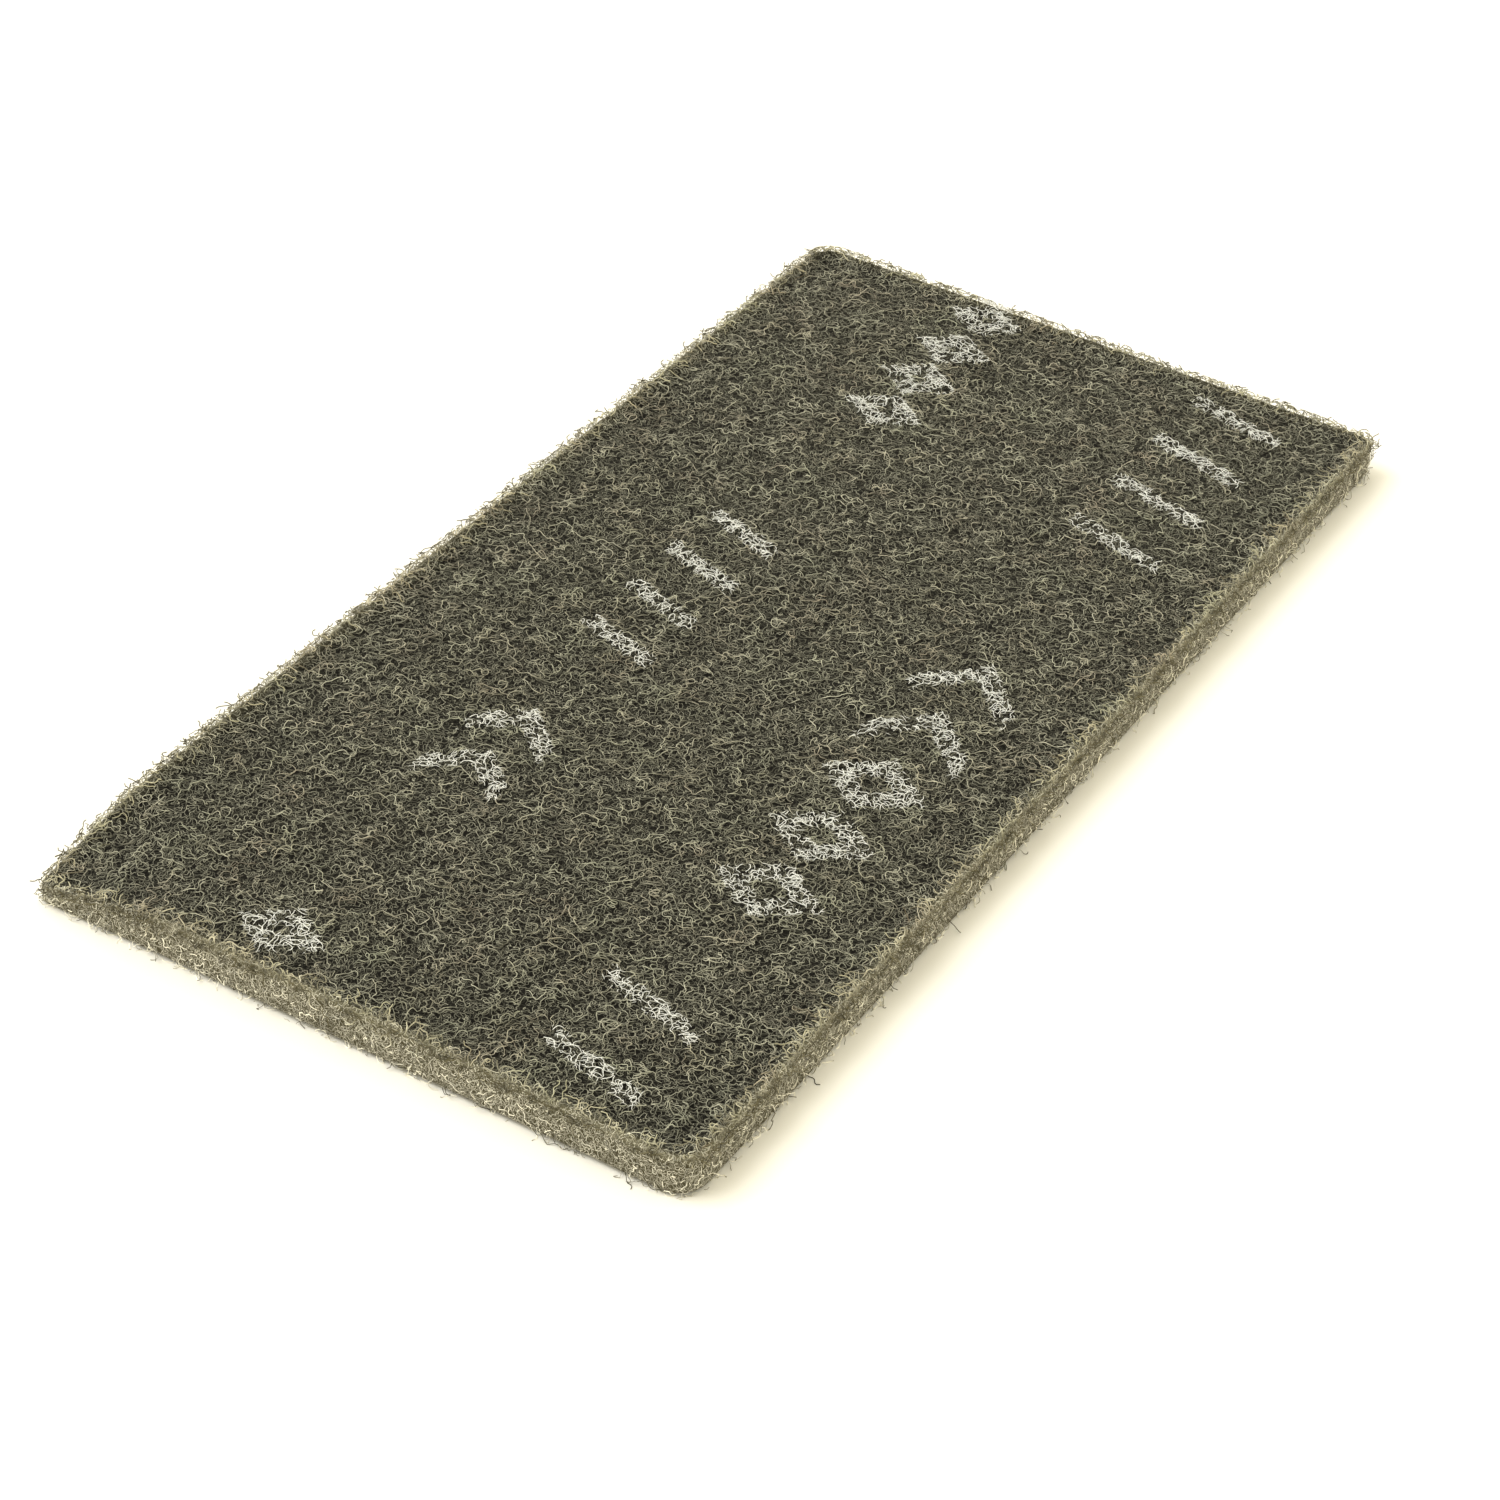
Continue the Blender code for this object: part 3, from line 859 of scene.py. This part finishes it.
def deep_nylon_web():
    """The fibres below the drawn ones."""
    # To the eye it is a tangle of thin curling strands over painted shade, each layer dimmer with
    # painted shade the lower it lies, and pale all through at the cut sides, partly with painted light
    colours = bpy.context.scene.hand_pad_finish
    name = "deep_nylon_web"
    material, shader = start_material(name, roughness=0.75, ior=NYLON_IOR, specular=0.08)
    put = partial(add, material.node_tree)
    spot = put("ShaderNodeTexCoord", out="Object")
    rim = put("ShaderNodeAttribute", out="Fac", attribute_name="rim")
    # Painted shade: the body under the fibres is near-black under the face and less dark at the rim
    # and the cut sides
    base = put(MIX, rim, sockets={6: colours.shade, 7: colours.cut_shade}, out=2, data_type="RGBA")
    brow = put(RANGE, put(SEPARATE, spot, out="Z"), PAD_THICKNESS - BROW_FROM,
               PAD_THICKNESS - BROW_TO, 0.0, BROW_TINT)
    brow = put(MATH, brow, rim, operation="MULTIPLY")
    base = put(MIX, brow, sockets={6: base, 7: colours.fuzz}, out=2, data_type="RGBA")
    strand = put(MIX, rim, sockets={6: colours.fibre, 7: colours.cut}, out=2, data_type="RGBA")
    curls = []
    for layer, pitch in enumerate(CURL_PITCHES):
        shift = (CURL_SHIFT.x * (layer + 1), CURL_SHIFT.y * layer, CURL_SHIFT.z * layer)
        shifted = put(VECTOR_MATH, spot, shift, operation="ADD")
        curls += lines_of_noise(put, shifted, pitch)
    coat = base
    for layer, (away, level) in enumerate(curls):
        nearness = (layer + 1) / len(curls)
        shadow = put(RANGE, away, CURL_SHADOW_FROM, CURL_SHADOW_TO, CURL_SHADOW, 0.0)
        coat = put(MIX, shadow, sockets={6: coat, 7: base}, out=2, data_type="RGBA")
        line = put(RANGE, away, CURL_CORE, CURL_EDGE, 1.0, 0.0)
        # Painted shade: each lower layer of deep fibres is drawn dimmer, most of all under the face
        face_light = FACE_LOWEST + FACE_GAIN * nearness ** FACE_GAIN_POWER
        side_light = SIDE_LOWEST + SIDE_GAIN * nearness
        light = put(RANGE, rim, 0.0, 1.0, face_light, side_light)
        patchy = put(RANGE, level, PATCH_FROM, PATCH_TO, PATCH_LIGHT, 1.0)
        light = put(MATH, light, patchy, operation="MULTIPLY")
        strength = put(MATH, line, light, operation="MULTIPLY")
        coat = put(MIX, strength, sockets={6: coat, 7: strand}, out=2, data_type="RGBA")
    material.node_tree.links.new(coat, shader.inputs["Base Color"])
    return material


def matt_white_paper(colour):
    """Background paper."""
    # To the eye it is an even white that takes soft shadows and no reflections
    name = "matt_white_paper"
    material, shader = start_material(name, roughness=0.9, ior=1.5, specular=0.5)
    shader.inputs["Base Color"].default_value = colour
    return material


# Stage

# The width of the camera's sensor, which Blender takes in millimetres
SENSOR_WIDTH = 36.0

# The nearest distance that the camera draws, and where the key light stands
CLIP_START = 0.01
KEY_PLACE = Vector((-0.35, 0.55, 0.9))


def lay_floor(stage):
    """A square of white paper that the pad lies on."""
    bm = bmesh.new()
    bmesh.ops.create_grid(bm, x_segments=1, y_segments=1, size=stage.floor / 2)
    floor = new_object("floor", bm)
    floor.data.materials.append(matt_white_paper(stage.paper))


def set_lights(scene, stage):
    """An even warm white all around, and a wide soft light."""
    world = bpy.data.worlds.new("soft_white_room")
    world.use_nodes = True
    world.node_tree.nodes["Background"].inputs["Strength"].default_value = stage.sky
    world.node_tree.nodes["Background"].inputs["Color"].default_value = stage.sky_colour
    scene.world = world
    key = bpy.data.lights.new("key_softbox", "SUN")
    key.energy = stage.key
    key.angle = stage.key_softness
    lamp = bpy.data.objects.new("key_softbox", key)
    lamp.location = KEY_PLACE
    lamp.rotation_euler = (-KEY_PLACE).to_track_quat("-Z", "Y").to_euler()
    scene.collection.objects.link(lamp)


def set_camera(scene, stage):
    """A camera that looks at the pad as the photograph does."""
    azimuth, elevation, roll = map(math.radians, (VIEW_AZIMUTH, VIEW_ELEVATION, VIEW_ROLL))
    level = math.cos(elevation)
    back = Vector((math.sin(azimuth) * level, -math.cos(azimuth) * level, math.sin(elevation)))
    right = Vector((0, 0, 1)).cross(back).normalized()
    up = back.cross(right)
    rolled_right = math.cos(roll) * right + math.sin(roll) * up
    rolled_up = math.cos(roll) * up - math.sin(roll) * right
    camera = bpy.data.objects.new("camera", bpy.data.cameras.new("camera"))
    camera.data.lens = stage.lens
    camera.data.sensor_width = SENSOR_WIDTH
    camera.data.clip_start = CLIP_START
    place = Matrix.Translation(VIEW_TARGET + back * stage.distance)
    camera.matrix_world = place @ Matrix((rolled_right, rolled_up, back)).transposed().to_4x4()
    scene.collection.objects.link(camera)
    scene.camera = camera


# Operators

# The layers of the face's fibres, where the first begins below the top, and how deep each is
FACE_LAYERS = 3
LAYERS_FROM = 0.1 * MM
LAYER_DEPTH = 0.25 * MM


class HANDPAD_OT_stage(bpy.types.Operator):
    """Lay the floor, and set the lights and the camera"""

    bl_idname = "hand_pad.stage"
    bl_label = "Stage"

    def execute(self, context):
        stage = context.scene.hand_pad_stage
        lay_floor(stage)
        set_lights(context.scene, stage)
        set_camera(context.scene, stage)
        context.scene.view_settings.view_transform = "Standard"
        return {"FINISHED"}


class HANDPAD_OT_deep_web(bpy.types.Operator):
    """Build the web's depth, the body behind the drawn fibres"""

    bl_idname = "hand_pad.deep_web"
    bl_label = "Deep web"

    def execute(self, context):
        top = PAD_THICKNESS - context.scene.hand_pad_web.shell
        bm = bmesh.new()
        rings = band(bm, web_levels(top))
        bm.faces.new(reversed(rings[0]))
        bm.faces.new(rings[-1])
        cut_into_facets(bm)
        follow_solid(bm, top)
        bmesh.ops.recalc_face_normals(bm, faces=bm.faces)
        web = new_object("deep_web", bm)
        web.data.shade_smooth()
        web.data.materials.append(deep_nylon_web())
        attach(web, BODY)
        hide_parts(NODE)
        return {"FINISHED"}


def fibre_sizes(web, own):
    """The inputs that the fibres share, with a group's own in their place. Densities are in
    fibres for each square metre, and bends in radians for each metre of fibre."""
    shared = {
        "Steps": 18, "Step length": web.step, "Crimp": web.crimp, "Swing": web.swing,
        "Bend": 1 / web.loop_radius, "Ripple": web.ripple, "Lift": 0.2 * MM, "Dive": 0.5 * MM,
        "Sink": 0.7 * MM, "Stand": 1.2 * MM, "Fray": web.fray, "Radius": web.fibre / 2,
        "Rim": web.rim, "Rim tint": 0.4, "Side tint": 1.0,
    }
    return shared | own


class HANDPAD_OT_face_fibres(bpy.types.Operator):
    """Grow the fibres of the printed face in three layers"""

    bl_idname = "hand_pad.face_fibres"
    bl_label = "Face fibres"

    def execute(self, context):
        colour = context.scene.hand_pad_finish.fibre
        for layer in range(FACE_LAYERS):
            name = f"resin_coated_nylon_layer_{layer + 1}"
            material = coated_fibre(name, colour, darkening=0.85, tones=(0.8, 1.5))
            depth = LAYERS_FROM + LAYER_DEPTH * layer
            sizes = fibre_sizes(context.scene.hand_pad_web, {
                "Density": 83000.0, "Seed": 100 * layer, "Step length": (0.46 + 0.04 * layer) * MM,
                "Depth from": depth, "Depth to": depth + LAYER_DEPTH, "Rim depth": 0.3,
                "Sink": 0.35 * MM, "Fray": 1.5 * MM, "Ink depth": 0.6 * MM,
            })
            grow(f"face_fibres_{layer + 1}", level_guide(PAD_THICKNESS, True), material, sizes)
        return {"FINISHED"}


class HANDPAD_OT_inked_fibres(bpy.types.Operator):
    """Grow the short curls that stand up into the printing ink"""

    bl_idname = "hand_pad.inked_fibres"
    bl_label = "Inked fibres"

    def execute(self, context):
        colour = context.scene.hand_pad_finish.fibre
        material = coated_fibre("inked_nylon_fibre", colour, darkening=0.7, tones=(0.75, 1.4))
        sizes = fibre_sizes(context.scene.hand_pad_web, {
            "Density": 950000.0, "Seed": 500, "Steps": 8, "Step length": 0.38 * MM,
            "Crimp": 2.0 * MM, "Bend": 1200.0, "Lift": 0.15 * MM, "Dive": 0.3 * MM,
            "Depth from": 0.0, "Depth to": 0.4 * MM, "Ink depth": 2.0 * MM,
        })
        grow("inked_fibres", print_guide(PAD_THICKNESS), material, sizes)
        return {"FINISHED"}


class HANDPAD_OT_side_fibres(bpy.types.Operator):
    """Grow the cut fibres of the four sides, and the hairs that stand out of them"""

    bl_idname = "hand_pad.side_fibres"
    bl_label = "Side fibres"

    def execute(self, context):
        web = context.scene.hand_pad_web
        colours = context.scene.hand_pad_finish
        cut = coated_fibre("cut_nylon_fibre", colours.fibre, darkening=0.5, tones=(0.3, 1.65))
        sizes = fibre_sizes(web, {
            "Density": 1180000.0, "Seed": 900, "Steps": 8, "Step length": 0.42 * MM,
            "Climb": 0.5, "Crimp": 1.8 * MM, "Depth from": -0.5 * MM, "Depth to": 0.15 * MM,
            "Fray": 1.3 * MM, "Sink": 0.0,
        })
        grow("side_fibres", side_guide(), cut, sizes)
        stray = coated_fibre("stray_nylon_fibre", colours.stray, darkening=0.5, tones=(0.5, 1.3))
        sizes = fibre_sizes(web, {
            "Density": 110000.0, "Seed": 950, "Steps": 12, "Step length": 0.5 * MM,
            "Climb": 1.2, "Radius": 0.07 * MM, "Depth from": 0.0, "Depth to": 0.6 * MM,
            "Fray": 2.2 * MM, "Sink": 0.0, "Rim tint": 0.0, "Side tint": 0.0,
        })
        grow("stray_fibres", side_guide(), stray, sizes)
        return {"FINISHED"}


class HANDPAD_OT_rim_fibres(bpy.types.Operator):
    """Grow the loose fuzz that fills out the upper rim"""

    bl_idname = "hand_pad.rim_fibres"
    bl_label = "Rim fibres"

    def execute(self, context):
        colour = context.scene.hand_pad_finish.fuzz
        fuzz = coated_fibre("rim_nylon_fibre", colour, darkening=0.4, tones=(0.45, 1.5))
        sizes = fibre_sizes(context.scene.hand_pad_web, {
            "Density": 2700000.0, "Seed": 980, "Steps": 9, "Step length": 0.45 * MM,
            "Climb": 0.7, "Crimp": 2.2 * MM, "Radius": 0.085 * MM, "Depth from": -0.8 * MM,
            "Depth to": 0.1 * MM, "Fray": 2.2 * MM, "Sink": 0.0, "Rim tint": 0.2,
            "Side tint": 0.8,
        })
        grow("rim_fibres", side_guide(PAD_THICKNESS - FUZZ_BAND), fuzz, sizes)
        return {"FINISHED"}


class HANDPAD_OT_underside_fibres(bpy.types.Operator):
    """Grow the flattened fibres of the underside"""

    bl_idname = "hand_pad.underside_fibres"
    bl_label = "Underside fibres"

    def execute(self, context):
        name = "resin_coated_nylon_underside"
        colour = context.scene.hand_pad_finish.fibre
        material = coated_fibre(name, colour, darkening=0.5, tones=(0.7, 1.3))
        sizes = fibre_sizes(context.scene.hand_pad_web, {
            "Density": 6200.0, "Seed": 700, "Lift": 0.08 * MM, "Dive": 0.3 * MM,
            "Depth from": 0.1 * MM, "Depth to": 0.35 * MM, "Fray": 0.3 * MM, "Side tint": 0.0,
        })
        grow("underside_fibres", level_guide(0.0, False), material, sizes)
        return {"FINISHED"}


OPERATORS = (HANDPAD_OT_stage, HANDPAD_OT_deep_web, HANDPAD_OT_face_fibres,
             HANDPAD_OT_inked_fibres, HANDPAD_OT_side_fibres, HANDPAD_OT_rim_fibres,
             HANDPAD_OT_underside_fibres)


class HANDPAD_PT_sidebar(bpy.types.Panel):
    """The hand pad's sizes, colours and building steps"""

    bl_idname = "HANDPAD_PT_sidebar"
    bl_label = "Hand Pad"
    bl_space_type = "VIEW_3D"
    bl_region_type = "UI"
    bl_category = "Hand Pad"

    def draw(self, context):
        scene = context.scene
        for group in (scene.hand_pad_web, scene.hand_pad_finish, scene.hand_pad_stage):
            box = self.layout.box()
            for name in group.__annotations__:
                box.prop(group, name)
        for operator in OPERATORS:
            self.layout.operator(operator.bl_idname)


GROUPS = {
    "hand_pad_web": HandPadWeb,
    "hand_pad_finish": HandPadFinish,
    "hand_pad_stage": HandPadStage,
}
CLASSES = (*GROUPS.values(), *OPERATORS, HANDPAD_PT_sidebar)


def register():
    """Make the settings, operators and sidebar known to Blender."""
    for kind in CLASSES:
        bpy.utils.register_class(kind)
    for name, kind in GROUPS.items():
        setattr(bpy.types.Scene, name, PointerProperty(type=kind))


def unregister():
    """Take them away again."""
    for name in GROUPS:
        delattr(bpy.types.Scene, name)
    for kind in reversed(CLASSES):
        bpy.utils.unregister_class(kind)


def main():
    """Build the whole picture."""
    register()
    bpy.ops.hand_pad.stage()
    bpy.ops.hand_pad.deep_web()
    bpy.ops.hand_pad.face_fibres()
    bpy.ops.hand_pad.inked_fibres()
    bpy.ops.hand_pad.side_fibres()
    bpy.ops.hand_pad.rim_fibres()
    bpy.ops.hand_pad.underside_fibres()


if __name__ == "__main__":
    main()
